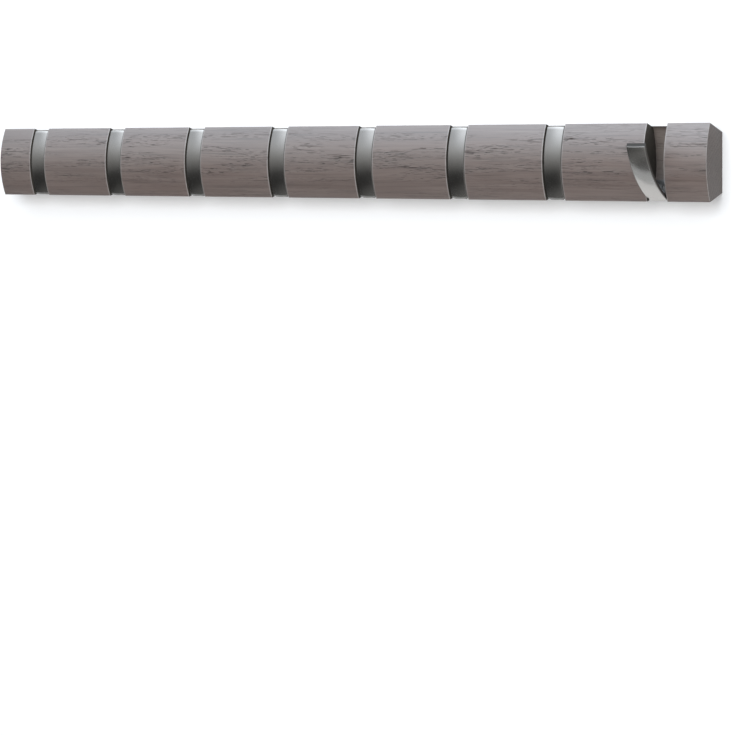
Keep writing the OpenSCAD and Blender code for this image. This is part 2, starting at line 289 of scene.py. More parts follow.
def row_tree():
    """Copies of one shape along the rail, welded where they meet, with loose shapes joined on."""
    tree = bpy.data.node_groups.new("row_along_rail", "GeometryNodeTree")
    inputs = {
        "Shape": "Object", "Ends": "Object", "Finish": "Material",
        "Count": "Int", "Pitch": "Float", "First": "Float",
    }
    for name, kind in inputs.items():
        tree.interface.new_socket(name, in_out="INPUT", socket_type=f"NodeSocket{kind}")
    tree.interface.new_socket("Geometry", in_out="OUTPUT", socket_type="NodeSocketGeometry")
    given = tree.nodes.new("NodeGroupInput").outputs
    result = tree.nodes.new("NodeGroupOutput")
    line = add_node(tree, "GeometryNodeMeshLine", {"Count": given["Count"]})
    connect(tree, line.inputs["Start Location"], vector(tree, given["First"], 0.0, 0.0))
    connect(tree, line.inputs["Offset"], vector(tree, given["Pitch"], 0.0, 0.0))
    shape = add_node(tree, "GeometryNodeObjectInfo", {"Object": given["Shape"]})
    ends = add_node(tree, "GeometryNodeObjectInfo", {"Object": given["Ends"]})
    copies = add_node(tree, "GeometryNodeInstanceOnPoints", {"Points": line.outputs[0]})
    connect(tree, copies.inputs["Instance"], shape.outputs["Geometry"])
    both = add_node(tree, "GeometryNodeJoinGeometry")
    tree.links.new(ends.outputs["Geometry"], both.inputs[0])
    tree.links.new(copies.outputs[0], both.inputs[0])
    real = add_node(tree, "GeometryNodeRealizeInstances", {"Geometry": both.outputs[0]})
    welded = add_node(
        tree, "GeometryNodeMergeByDistance", {"Geometry": real.outputs[0], "Distance": weld_distance}
    )
    finished = add_node(tree, "GeometryNodeSetMaterial", {"Geometry": welded.outputs[0]})
    connect(tree, finished.inputs["Material"], given["Finish"])
    tree.links.new(finished.outputs[0], result.inputs[0])
    return tree


def row(name, shape, ends, count, pitch, first, finish):
    """A plain mesh of a shape repeated along the rail, in metres."""
    parts = [add_object("part", mesh) for mesh in (shape, ends or bpy.data.meshes.new("no_ends"))]
    values = {
        "Shape": parts[0], "Ends": parts[1], "Finish": finish,
        "Count": count, "Pitch": pitch, "First": first,
    }
    maker = add_object(name, bpy.data.meshes.new(name))
    modifier = maker.modifiers.new("shape", "NODES")
    modifier.node_group = along_rail
    for item in along_rail.interface.items_tree:
        if item.in_out == "INPUT":
            modifier[item.identifier] = values[item.name]
    mesh = evaluated_mesh(maker, name)
    for part in parts:
        bpy.data.objects.remove(part)
    return mesh


def merged(meshes):
    """Several meshes as one."""
    bm = bmesh.new()
    for mesh in meshes:
        bm.from_mesh(mesh)
    return written(bm, bpy.data.meshes.new(meshes[0].name))


def outward(mesh, sharp_angle=sharp_from):
    """A closed mesh in metres with its faces turned outward and shaded smooth."""
    bm = bmesh.new()
    bm.from_mesh(mesh)
    bmesh.ops.recalc_face_normals(bm, faces=bm.faces)
    return shaded(written(bm, mesh), sharp_angle)


def cut(mesh, cutter_mesh, operation="DIFFERENCE"):
    """The mesh after an exact boolean with another."""
    body = add_object("body", mesh)
    tool = add_object("tool", cutter_mesh)
    boolean = body.modifiers.new("cut", "BOOLEAN")
    boolean.object = tool
    boolean.operation = operation
    boolean.solver = "EXACT"
    boolean.use_self = True
    result = evaluated_mesh(body, mesh.name)
    bpy.data.objects.remove(tool)
    return result


sides = ("left", "right")
plate_boxes = [[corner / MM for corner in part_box(f"keyhole_plate_{side}")] for side in sides]
screw_z = sum(corner.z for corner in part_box("bracket_screws")) / 2 / MM
bracket_screw_radius = 2.0
bracket_screw_head = 3.8
hole_clearance = 0.2
head_clearance = 0.4
counterbore_depth = 3.4
plate_thickness = 1.5
plate_recess = 0.2
recess_depth = plate_recess + plate_thickness
plate_clearance = 0.2
plate_screw_radius = 1.5
plate_screw_inset = 5.5
pilot_clearance = 0.05
pilot_depth = 14.2
keyhole_z = -5.0
keyhole_radius = 4.5
neck_rise = 9.0
pocket_depth = 11.0
pocket_clearance = 1.5
outside = 1.0


def add_hole(bm, x, low_z, high_z, radius, depth, steps=16):
    """The solid of an upright, round-ended hole in the back, standing out past the wood."""
    turns = np.radians(np.linspace(0, 180, steps + 1))
    top = [(x + radius * math.cos(t), high_z + radius * math.sin(t)) for t in turns]
    bottom = [(x - radius * math.cos(t), low_z - radius * math.sin(t)) for t in turns]
    add_solid(bm, [[bm.verts.new((px, y, pz)) for px, pz in top + bottom] for y in (-depth, outside)])


def back_cuts():
    """What is cut into the back: screw holes, plate recesses and pockets behind the keyholes."""
    bm = bmesh.new()
    for x, _, _ in hook_places:
        add_hole(bm, x, screw_z, screw_z, bracket_screw_radius + hole_clearance, outside - seat_y)
        add_hole(bm, x, screw_z, screw_z, bracket_screw_head + head_clearance, counterbore_depth)
    for low, high in plate_boxes:
        x, half = (low.x + high.x) / 2, (high.x - low.x) / 2
        add_hole(bm, x, low.z + half, high.z - half, half + plate_clearance, recess_depth)
        add_hole(bm, x, keyhole_z, keyhole_z + neck_rise, keyhole_radius + pocket_clearance, pocket_depth)
        for z in (low.z + plate_screw_inset, high.z - plate_screw_inset):
            add_hole(bm, x, z, z, plate_screw_radius + pilot_clearance, pilot_depth, 10)
    return finish_mesh("back_cuts", bm)


class Field:
    """A number in a node tree, so that a formula can be written as one."""

    def __init__(self, tree, socket):
        self.tree, self.socket = tree, socket

    def math(self, operation, *others):
        node = self.tree.nodes.new("ShaderNodeMath")
        node.operation = operation
        for slot, other in zip(node.inputs, (self, *others)):
            connect(self.tree, slot, other)
        return Field(self.tree, node.outputs[0])

    def __add__(self, other):
        return self.math("ADD", other)

    def __sub__(self, other):
        return self.math("SUBTRACT", other)

    def __mul__(self, other):
        return self.math("MULTIPLY", other)

    def __truediv__(self, other):
        return self.math("DIVIDE", other)

    def between(self, low, high):
        """0 up to low, 1 from high, and smooth between them."""
        node = self.tree.nodes.new("ShaderNodeMapRange")
        node.interpolation_type = "SMOOTHSTEP"
        for name, value in (("Value", self), ("From Min", low), ("From Max", high)):
            connect(self.tree, node.inputs[name], value)
        return Field(self.tree, node.outputs["Result"])


def connect(tree, socket, value):
    """Links a socket to a field or an output, or sets it to a plain value."""
    if isinstance(value, Field):
        value = value.socket
    if isinstance(value, bpy.types.NodeSocket):
        tree.links.new(value, socket)
    else:
        socket.default_value = value


def add_node(tree, kind, inputs=None, **settings):
    """A node with its settings made and its inputs connected by name or number."""
    node = tree.nodes.new(kind)
    for name, value in settings.items():
        setattr(node, name, value)
    for name, value in (inputs or {}).items():
        connect(tree, node.inputs[name], value)
    return node


def new_material(name):
    """A material with its node tree and its shader."""
    material = bpy.data.materials.new(name)
    material.use_nodes = True
    tree = material.node_tree
    return material, tree, tree.nodes["Principled BSDF"]


def object_position(tree):
    return add_node(tree, "ShaderNodeTexCoord").outputs["Object"]


def axes(tree, place):
    """A vector's three numbers."""
    node = add_node(tree, "ShaderNodeSeparateXYZ", {"Vector": place})
    return [Field(tree, out) for out in node.outputs]


def vector(tree, x, y, z):
    return add_node(tree, "ShaderNodeCombineXYZ", {"X": x, "Y": y, "Z": z}).outputs[0]


def stretched(tree, place, x, y, z):
    """A place with its axes scaled, so that a pattern is long where a scale is small."""
    scaled = add_node(tree, "ShaderNodeVectorMath", {0: place, 1: (x, y, z)}, operation="MULTIPLY")
    return scaled.outputs[0]


def noise(tree, place, detail=2.0, roughness=0.5):
    inputs = {"Vector": place, "Scale": 1.0, "Detail": detail, "Roughness": roughness}
    return Field(tree, add_node(tree, "ShaderNodeTexNoise", inputs).outputs["Fac"])


def along_grain(tree, place, length, width, detail=2.0, roughness=0.5):
    """Noise drawn out along the rail, by how often it changes a metre along it and across it."""
    return noise(tree, stretched(tree, place, length, width, width), detail, roughness)


def blend_colour(tree, amount, first, second):
    node = add_node(tree, "ShaderNodeMix", data_type="RGBA")
    connect(tree, node.inputs[0], amount)
    for socket, colour in ((node.inputs[6], first), (node.inputs[7], second)):
        connect(tree, socket, (*colour, 1) if isinstance(colour, tuple) else colour)
    return node.outputs[2]


def bump(tree, height, distance, strength):
    inputs = {"Height": height, "Distance": distance, "Strength": strength}
    return add_node(tree, "ShaderNodeBump", inputs).outputs["Normal"]


def growth_rings(tree, place):
    """Wavering rings about an axis along the rail, as (place in the rings, late wood)."""
    pith_y, pith_z, ring_gap = 0.045, -0.060, 0.0037
    drift = along_grain(tree, place, 3.4, 12, 1.0) - 0.5
    sway = along_grain(tree, place, 2.3, 9, 0.0) - 0.5
    x, y, z = axes(tree, place)
    y, z = y + sway * 0.010, z + drift * 0.012
    across = ((y - pith_y) * (y - pith_y) + (z - pith_z) * (z - pith_z)).math("SQRT")
    phase = (across / ring_gap).math("FRACT")
    late_wood = phase.between(0.35, 0.9) * (phase.between(0.9, 1.0) * -1 + 1)
    return vector(tree, x, y, z), late_wood


def mark(tree, name):
    """A number that a mesh carries at its vertices."""
    return Field(tree, add_node(tree, "ShaderNodeAttribute", attribute_name=name).outputs["Fac"])


def stained_wood():
    """Open-grained wood under grey stain and lacquer, with arcs on the end grain and worn edges.

    Streaks and tones run along the rail. Pores, broken dashes and flecks gather at the middle of
    the height. End grain drinks more stain and keeps no lacquer; on the slots' walls it is darkened
    further as painted shade, and the slots' floors are painted lighter as painted light. The light
    worn edges are partly a painted highlight.
    """
    material, tree, shader = new_material("stained_wood")
    place = object_position(tree)
    height = axes(tree, place)[2] - 0.004
    middle = (height * height).between(0.00080, 0.00004)
    normal = add_node(tree, "ShaderNodeNewGeometry").outputs["True Normal"]
    sideways = axes(tree, normal)[0].math("ABSOLUTE").between(0.4, 0.8)
    lengthwise = sideways * -1 + 1
    warped, late_wood = growth_rings(tree, place)

    streak = along_grain(tree, warped, 7, 620, 4.0, 0.62)
    tone = along_grain(tree, warped, 3.0, 60)
    warmth = along_grain(tree, warped, 4.0, 38, 1.0).between(0.42, 0.68)
    line = along_grain(tree, warped, 13, 1250).between(0.56, 0.66)
    open_grain = along_grain(tree, warped, 9, 130).between(0.40, 0.58) * (middle * 0.7 + 0.3)
    pores = along_grain(tree, warped, 110, 1800, 1.0).between(0.58, 0.64) * open_grain
    flecks = along_grain(tree, warped, 150, 1700, 1.0).between(0.62, 0.70) * open_grain
    ripple = (along_grain(tree, warped, 10, 370, 2.0, 0.55) - 0.5).math("ABSOLUTE")
    broken = along_grain(tree, warped, 44, 640, 1.0).between(0.47, 0.55)
    dashes = ripple.between(0.040, 0.012) * broken * open_grain * lengthwise

    wood = blend_colour(tree, streak.between(0.30, 0.70), (0.158, 0.113, 0.099), (0.218, 0.167, 0.148))
    wood = blend_colour(tree, warmth * 0.40, wood, (0.174, 0.116, 0.095))
    wood = blend_colour(tree, tone.between(0.45, 0.72) * 0.25, wood, (0.107, 0.083, 0.074))
    wood = blend_colour(tree, late_wood * (sideways * 0.35 + 0.10), wood, (0.107, 0.083, 0.074))
    wood = blend_colour(tree, line * 0.50, wood, (0.065, 0.049, 0.042))
    wood = blend_colour(tree, flecks * 0.35, wood, (0.30, 0.265, 0.245))
    wood = blend_colour(tree, pores * (lengthwise * 0.40 + 0.40), wood, (0.030, 0.023, 0.019))
    wood = blend_colour(tree, dashes * 0.50, wood, (0.034, 0.026, 0.022))

    routed = mark(tree, "routed")
    cut_end_and_shade = routed * sideways
    # Painted light: the slots' floors are made lighter.
    wood = blend_colour(tree, (routed - cut_end_and_shade) * 0.50, wood, (0.27, 0.235, 0.21))
    # Dark end-grain stain, which on the slots' walls is partly painted shade.
    wood = blend_colour(tree, cut_end_and_shade * 0.80, wood, (0.050, 0.043, 0.030))
    # Light worn edges, partly a painted highlight.
    patchy = along_grain(tree, place, 60, 200).between(0.25, 0.6) * 0.5 + 0.5
    wood = blend_colour(tree, mark(tree, "edge_wear") * patchy * 0.75, wood, (0.42, 0.39, 0.375))
    connect(tree, shader.inputs["Base Color"], wood)

    hollows = (pores + dashes) * 0.25
    connect(tree, shader.inputs["Roughness"], streak * 0.14 + 0.34 + hollows + cut_end_and_shade * 0.4)
    surface = streak * 0.25 - pores - dashes * 0.6 - line * 0.3
    connect(tree, shader.inputs["Normal"], bump(tree, surface, 0.0001, 0.8))
    unfilled = cut_end_and_shade * 2.35 + (pores + dashes) * 0.6
    connect(tree, shader.inputs["Coat Weight"], (unfilled * -1 + 1).math("MAXIMUM", 0.0))
    shader.inputs["Specular IOR Level"].default_value = 0.6
    shader.inputs["Specular Tint"].default_value = (0.66, 0.90, 1.0, 1)
    shader.inputs["Coat IOR"].default_value = 2.4
    shader.inputs["Coat Roughness"].default_value = 0.28
    return material


outlines = rail_outlines()
hook_pitch = hook_places[1][0] - hook_places[0][0]
wood = stained_wood()
along_rail = row_tree()
ends = merged([rail_end(outlines, hook_places[0][0], -1), rail_end(outlines, hook_places[-1][0], 1)])
bays = (len(hook_places) - 1, hook_pitch * MM, hook_places[0][0] * MM)
blank = outward(row("rail_wood", rail_bay(outlines, hook_pitch), ends, *bays, wood))
rail_mesh = outward(cut(blank, back_cuts()))
rail = new_piece("rail_wood", rail_mesh, wood)
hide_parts("rail")
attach(rail, "root")

# Hanger plates. Two zinc-plated steel plates, stamped with a keyhole and let into the back of
# the rail, each held by two countersunk wood screws. The rack hangs on a pair of wall screws.
plate_edge_round = 0.18
bevel_segments = 2
bevelled_from = 32
fine_sharp_from = 30
plate_screw_length = 13.0
point_length = 3.0
thread_pitch = 1.3
thread_depth = 0.28
shank_radius = plate_screw_radius - 0.1
countersink_radius = 2 * plate_screw_radius
cross_clear = 0.3


def cad_casting(node, edge_round):
    """A copy of a CAD node with its edges eased, as a cast or stamped piece has them."""
    bm = bmesh.new()
    bm.from_mesh(frame["nodes"][node].data)
    bmesh.ops.remove_doubles(bm, verts=bm.verts, dist=weld_distance)
    bmesh.ops.dissolve_limit(bm, angle_limit=math.radians(1), verts=bm.verts, edges=bm.edges)
    body = add_object("body", written(bm, bpy.data.meshes.new(node)))
    bevel = body.modifiers.new("eased edges", "BEVEL")
    bevel.width = edge_round * MM
    bevel.segments = bevel_segments
    bevel.angle_limit = math.radians(bevelled_from)
    return shaded(evaluated_mesh(body, node + "_eased"), fine_sharp_from)


def turned(name, profile, steps=32):
    """A lathe-turned shape about X from (along, radius) points, closed at both ends."""
    bm = bmesh.new()
    turns = np.radians(np.linspace(0, 360, steps + 1)[:-1])
    rings = []
    for along, radius in profile:
        if radius:
            ring = [bm.verts.new((along, radius * math.cos(t), radius * math.sin(t))) for t in turns]
        else:
            ring = [bm.verts.new((along, 0, 0))] * steps
        rings.append(ring)
    for first, second in zip(rings, rings[1:]):
        for k in range(steps):
            nxt = (k + 1) % steps
            corners = dict.fromkeys((first[k], first[nxt], second[nxt], second[k]))
            bm.faces.new(tuple(corners))
    return finish_mesh(name, bm, fine_sharp_from)


def threaded(start, length, radius):
    """Profile points of a screw thread, as sharp rings along the shank."""
    root = radius - thread_depth
    points = []
    for k in range(int(length / thread_pitch)):
        shares = ((0.0, root), (0.35, root), (0.6, radius), (0.75, radius))
        points += [(start + (k + share) * thread_pitch, height) for share, height in shares]
    return points


def cross_recess(name, reach, depth, span):
    """The tapered cross that a driver fits, cut from X = reach inward."""
    bm = bmesh.new()
    half_long, half_short = span / 2, span / 9
    corners = ((-1, -1), (1, -1), (1, 1), (-1, 1))
    top = np.array([(y * half_long, z * half_short) for y, z in corners])
    for slot_turned in (True, False):
        rings = []
        for x, outline in ((reach, top), (reach - depth, top * (0.45, 0.8))):
            if slot_turned:
                outline = [(-z, y) for y, z in outline]
            rings.append([bm.verts.new((x, y, z)) for y, z in outline])
        add_solid(bm, rings)
    return finish_mesh(name, bm)


def stood_in_back(mesh, y, z):
    """A shape made about X, moved so that its +X end faces the wall at a depth and height."""
    placed = mesh.copy()
    placed.transform(Matrix.Translation((0, y * MM, z * MM)) @ Matrix.Rotation(math.pi / 2, 4, "Z"))
    return placed


def speckle(tree, place, often, detail=2.0, roughness=0.5):
    """Noise that is the same in every direction, by how often it changes a metre."""
    return noise(tree, stretched(tree, place, often, often, often), detail, roughness)


def finish_metal(tree, shader, colour, roughness, height, depth, strength=0.6):
    """Makes a shader metal. The depth is that of its relief, in metres."""
    connect(tree, shader.inputs["Base Color"], colour)
    connect(tree, shader.inputs["Roughness"], roughness)
    connect(tree, shader.inputs["Normal"], bump(tree, height, depth, strength))
    shader.inputs["Metallic"].default_value = 1.0


def zinc_plate():
    """Rolled sheet under a bright zinc plate, faintly blue, with rolling lines and dulled patches."""
    material, tree, shader = new_material("zinc_plate")
    place = object_position(tree)
    rolling = noise(tree, stretched(tree, place, 5000, 900, 120))
    patches = speckle(tree, place, 220, 3.0, 0.6)
    spots = speckle(tree, place, 1400, 1.0).between(0.66, 0.75)
    colour = blend_colour(tree, patches.between(0.3, 0.7), (0.56, 0.58, 0.61), (0.66, 0.67, 0.68))
    colour = blend_colour(tree, spots * 0.5, colour, (0.40, 0.41, 0.42))
    roughness = rolling * 0.12 + 0.20 + patches * 0.16
    finish_metal(tree, shader, colour, roughness, rolling + spots * -0.5, 0.00001)
    return material


def bright_steel():
    """Plated steel of screws and pins, with fine tool marks and a little tarnish."""
    material, tree, shader = new_material("bright_steel")
    place = object_position(tree)
    turning = speckle(tree, place, 6000)
    tarnish = speckle(tree, place, 600, 3.0, 0.6)
    colour = blend_colour(tree, tarnish.between(0.35, 0.75), (0.62, 0.62, 0.62), (0.47, 0.465, 0.46))
    finish_metal(tree, shader, colour, tarnish * 0.18 + 0.18, turning, 0.000008)
    return material


zinc = zinc_plate()
steel = bright_steel()
for side in sides:
    plate_mesh = cad_casting(f"keyhole_plate_{side}", plate_edge_round)
    plate = new_piece(f"hanger_plate_{side}", plate_mesh, zinc)
    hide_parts(f"keyhole_plate_{side}")
    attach(plate, "root")

thread_start = point_length - plate_screw_length
wood_screw = turned("wood_screw", [
    (-plate_screw_length, 0), (-plate_screw_length + 0.2, 0.25),
    (thread_start, plate_screw_radius - thread_depth),
    *threaded(thread_start, plate_screw_length - 2 * point_length, plate_screw_radius),
    (-2.6, shank_radius), (-plate_screw_radius, shank_radius),
    (-0.12, countersink_radius - 0.1), (0, countersink_radius - 0.2), (0, 0),
])
small_cross = cross_recess("small_cross", cross_clear, 1.3, plate_screw_radius * 2.2)
wood_screw = outward(cut(wood_screw, small_cross), fine_sharp_from)
plate_low, plate_high = plate_boxes[0]
screw_rows = (plate_low.z + plate_screw_inset, plate_high.z - plate_screw_inset)
left_x, right_x = ((low.x + high.x) / 2 for low, high in plate_boxes)
pair = merged([stood_in_back(wood_screw, -plate_recess, z) for z in screw_rows])
screws_mesh = row("plate_screws_steel", pair, None, 2, (right_x - left_x) * MM, left_x * MM, steel)
screws_mesh = outward(screws_mesh, fine_sharp_from)
plate_screws = new_piece("plate_screws_steel", screws_mesh, steel)
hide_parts("plate_screws")
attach(plate_screws, "root")

# Hinge brackets. Zinc castings seated in the lower end of each slot: a back plate, two ears
# that carry the pin, and a tongue that stops the open hook. Each is drawn tight against the
# wood by one pan-head machine screw from a counterbore in the back.
casting_edge_round = 0.25
screw_head_height = 2.3
head_rim_height = 1.2
head_edge_round = 0.25
head_dome_reach = 1.9
machine_pitch = 0.7
machine_thread_depth = 0.22
machine_turns = 5


def cast_zinc():
    """Tumbled casting: soft grain, a slightly uneven colour and small dark pits."""
    material, tree, shader = new_material("cast_zinc")
    place = object_position(tree)
    grain = speckle(tree, place, 2600, 3.0, 0.65)
    cloud = speckle(tree, place, 160, 3.0)
    pits = speckle(tree, place, 900, 1.0).between(0.68, 0.76)
    colour = blend_colour(tree, cloud.between(0.3, 0.7), (0.36, 0.365, 0.37), (0.45, 0.45, 0.45))
    colour = blend_colour(tree, pits * 0.6, colour, (0.22, 0.22, 0.22))
    finish_metal(tree, shader, colour, grain * 0.2 + 0.34, grain - pits, 0.00004)
    return material


casting_metal = cast_zinc()
for number in range(1, len(hook_places) + 1):
    bracket_mesh = cad_casting(f"hinge_bracket_{number}", casting_edge_round)
    bracket = new_piece(f"hinge_bracket_{number}_casting", bracket_mesh, casting_metal)
    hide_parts(f"hinge_bracket_{number}")
    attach(bracket, "root")

bracket_screw_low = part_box("bracket_screws")[0].y / MM
head_seat = -counterbore_depth
head_top = head_seat + screw_head_height
dome_start = head_seat + head_rim_height
dome_rise = head_top - dome_start
dome_turns = np.radians(np.linspace(15, 90, 5))
machine_screw = turned("machine_screw", [
    (bracket_screw_low, 0), (bracket_screw_low, 1.5),
    *[(head_seat - 1.4 - k * machine_pitch / 2, bracket_screw_radius - machine_thread_depth * (k % 2))
      for k in range(2 * machine_turns, -1, -1)],
    (head_seat - 0.9, bracket_screw_radius), (head_seat, bracket_screw_radius),
    (head_seat, bracket_screw_head - head_edge_round),
    (head_seat + head_edge_round, bracket_screw_head), (dome_start, bracket_screw_head),
    *[(dome_start + dome_rise * math.sin(t), bracket_screw_head - head_dome_reach * (1 - math.cos(t)))
      for t in dome_turns],
    (head_top, 0),
], 40)
screw_cross = cross_recess("cross", head_top + cross_clear, 1.8, 4.4)
machine_screw = outward(cut(machine_screw, screw_cross), fine_sharp_from)
every_hook = (None, len(hook_places), hook_pitch * MM, hook_places[0][0] * MM)
seated_screw = stood_in_back(machine_screw, 0, screw_z)
screws_mesh = outward(row("bracket_screws_steel", seated_screw, *every_hook, steel), fine_sharp_from)
bracket_screws = new_piece("bracket_screws_steel", screws_mesh, steel)
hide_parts("bracket_screws")
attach(bracket_screws, "root")

# Hooks. Die-cast zinc with a satin nickel plate. Each is a curved blade with a crowned face,
# rolled under about its pin at the lower end, with a knuckle, a gusset and a stop heel cast on
# behind. The pin goes through the knuckle, between the ears of the bracket.
hook_thickness = 3.8
hook_crown = 0.9
side_gap = 0.65
hook_recess = 0.3
top_gap = 2.4
tip_slope = 14.0
roll_proud = 0.08
bore_radius = 1.05
ear_pocket = 1.95
knuckle_radius = 3.4
gusset_height = 10.0
heel_length = 1.6
heel_round = 0.45
knuckle_edge_round = 0.2
open_angle = 43.0
skirt_end = 250.0
side_round = 0.6
# Painted shade along the hook's sides, where the slot's walls shade them.
side_shade_margin = 0.5
side_shade_fade = 0.9
painted_side_shade = 0.85
dull_back = 0.4
rubbed_side = 0.4
tip_round = 0.9
tip_back_round = 0.35
face_clear_of_tip = 0.9
back_clear_of_tip = 1.5
fading = 6
hook_width = slot_width - 2 * side_gap
knuckle_width = 11.8
blade_radius = front_radius - hook_recess
blade_back_radius = blade_radius - hook_thickness
crown_radius = (hook_width**2 / 4 + hook_crown**2) / (2 * hook_crown)
pin_y, pin_z = hook_places[0][1:]
pin_distance = math.hypot(pin_y - front_axis_y, pin_z)
pin_direction = 180 + math.degrees(math.asin(-pin_z / pin_distance))
barrel_radius = blade_radius - pin_distance


def hook_outline():
    """The hook's side view (Y, Z) from its tip down the face, round the pin and up the back.

    With it go, for each point, the way that the crown dips, the share of the rounding of the
    sides that it takes, and how dark and matt it is made: the tip's end and the back are left
    without polish, and the rolled-under bottom is painted dark as painted shade.
    """
    top_z = half_height - top_gap
    back_z = top_z + hook_thickness * math.tan(math.radians(tip_slope))
    front_top = (front_axis_y - math.sqrt(blade_radius**2 - top_z**2), top_z)
    back_top = (front_axis_y - math.sqrt(blade_back_radius**2 - back_z**2), back_z)
    face_start = 180 - math.degrees(math.asin(top_z / blade_radius)) + face_clear_of_tip
    back_end = 180 - math.degrees(math.asin(back_z / blade_back_radius)) + back_clear_of_tip
    pocket_end = pin_direction - 90
    pocket_z = pin_z + ear_pocket * math.sin(math.radians(pocket_end))
    back_start = 180 + math.degrees(math.asin(-pocket_z / blade_back_radius))
    face = arc((front_axis_y, 0), blade_radius, face_start, pin_direction, 44)
    roll = arc((pin_y, pin_z), barrel_radius, pin_direction, skirt_end, 12)[1:]
    pocket = arc((pin_y, pin_z), ear_pocket, skirt_end, pocket_end, 16)
    inner = arc((front_axis_y, 0), blade_back_radius, back_start, back_end, 40)[1:]
    front_corner = rounded_corner(back_top, front_top, face[0], tip_round, 5)
    back_corner = rounded_corner(inner[-1], back_top, front_top, tip_back_round)
    points = np.vstack([front_corner, face[1:], roll, pocket, inner[:-1], back_corner])
    rolled = len(front_corner) + len(face) - 1
    faced = rolled + len(roll)
    behind = faced + len(pocket)
    cornered = len(points) - len(back_corner)
    centres = np.array([(front_axis_y, 0)] * rolled + [(pin_y, pin_z)] * len(roll))
    crown = np.zeros((len(points), 2))
    crown[:faced] = centres - points[:faced]
    crown[:faced] /= np.linalg.norm(crown[:faced], axis=1)[:, None]
    soft = np.ones(len(points))
    soft[faced - fading:faced] = np.linspace(0.9, 0.0, fading)
    soft[faced:behind] = 0.0
    soft[behind:behind + fading] = np.linspace(0.1, 0.9, fading)
    soft[cornered - 4:cornered] = np.linspace(0.9, 0.4, 4)
    soft[cornered:] = 0.4
    dull_and_shade = np.full(len(points), dull_back)
    dull_and_shade[:rolled] = 0.0
    dull_and_shade[:2] = (0.9, 0.25)
    # Painted shade: the rolled-under bottom darkens toward its end.
    dull_and_shade[rolled:faced] = np.linspace(0.1, 1.0, len(roll))
    dull_and_shade[cornered:] = 1.0
    return points, crown, soft, dull_and_shade


def hook_blade():
    """The blade from side to side, crowned, with rounded sides and a rim at its tip rubbed bright, partly
    a painted highlight.
    """
    points, crown, soft, dull_and_shade = hook_outline()
    toward_inside = inward(points)
    steps = np.linalg.norm(np.roll(points, -1, 0) - points, axis=1)
    along = np.concatenate([[0], np.cumsum(steps)[:-1]])
    flat = hook_width / 2 - side_round
    left = [-(flat + side_round * math.sin(t)) for t in quarter_turn]
    inner_xs = [-flat + side_shade_margin, *np.linspace(-flat, flat, 13)[1:-1], flat - side_shade_margin]
    xs = left + inner_xs + [-x for x in left[::-1]]
    bm = bmesh.new()
    uv = bm.loops.layers.uv.new("across_and_along")
    wear_and_highlight = bm.verts.layers.float.new("edge_wear")
    unpolished = bm.verts.layers.float.new("unpolished")
    tip_rim = slice(2, 6)
    rings, places = [], {}
    for x in xs:
        over = max(0.0, abs(x) - flat)
        inset = side_round - math.sqrt(max(0.0, side_round**2 - over**2))
        dip = crown_radius - math.sqrt(crown_radius**2 - x**2)
        moved = points + toward_inside * (inset * soft)[:, None] + crown * dip
        ring = [bm.verts.new((x, y, z)) for y, z in moved]
        rubbed = rubbed_side * math.sin(math.pi * min(1.0, over / side_round))
        # Painted shade along both sides, where the slot's walls shade the blade.
        side_shade = painted_side_shade * min(1.0, max(0.0, abs(x) - flat + side_shade_margin) / side_shade_fade)
        for k, vert in enumerate(ring):
            places[vert] = (x * MM, along[k] * MM)
            vert[wear_and_highlight] = rubbed * (1 - dull_and_shade[k])
            vert[unpolished] = max(dull_and_shade[k], side_shade)
        # The tip's rim is rubbed brighter, partly a painted highlight.
        for vert in ring[tip_rim]:
            vert[wear_and_highlight] = 1.0
        rings.append(ring)
    add_solid(bm, rings)
    for face in bm.faces:
        for loop in face.loops:
            loop[uv].uv = places[loop.vert]
    return finish_mesh("hook_metal", bm)


def knuckle():
    """The knuckle, its gusset up the blade's back, and the heel that stops the open hook."""
    pin = np.array([pin_y, pin_z])

    def from_pin(radius, angle):
        return pin + radius * np.array([math.cos(math.radians(angle)), math.sin(math.radians(angle))])

    gusset_z = pin_z + gusset_height
    gusset_y = front_axis_y - math.sqrt(blade_back_radius**2 - gusset_z**2)
    heel_radius = barrel_radius + roll_proud
    heel_stop = from_pin(heel_radius, -open_angle)
    heel_turn = math.degrees(math.atan(heel_length / heel_radius))
    heel_corner = from_pin(math.hypot(heel_radius, heel_length), -open_angle - heel_turn)
    heel_start = skirt_end - 2 - 360
    inside_blade = knuckle_radius - 0.3
    outline = np.vstack([
        [(gusset_y - 0.5, gusset_z), (gusset_y - hook_thickness / 2, gusset_z)],
        [from_pin(inside_blade, 170), from_pin(inside_blade, 200)],
        [from_pin(heel_radius - 0.15, heel_start)],
        rounded_corner(from_pin(heel_radius, heel_start), heel_corner, heel_stop, heel_round, 3),
        [heel_stop],
        arc(pin, knuckle_radius, -open_angle + 24, 50, 12),
    ])
    half, soft = knuckle_width / 2, knuckle_edge_round
    left = [(-half, soft), (-half + soft * 0.3, soft * 0.3), (-half + soft, 0.0)]
    bm = bmesh.new()
    rings = []
    for x, inset in left + [(-x, inset) for x, inset in left[::-1]]:
        moved = outline + inward(outline) * inset
        rings.append([bm.verts.new((x, y, z)) for y, z in moved])
    add_solid(bm, rings)
    return finish_mesh("knuckle", bm)


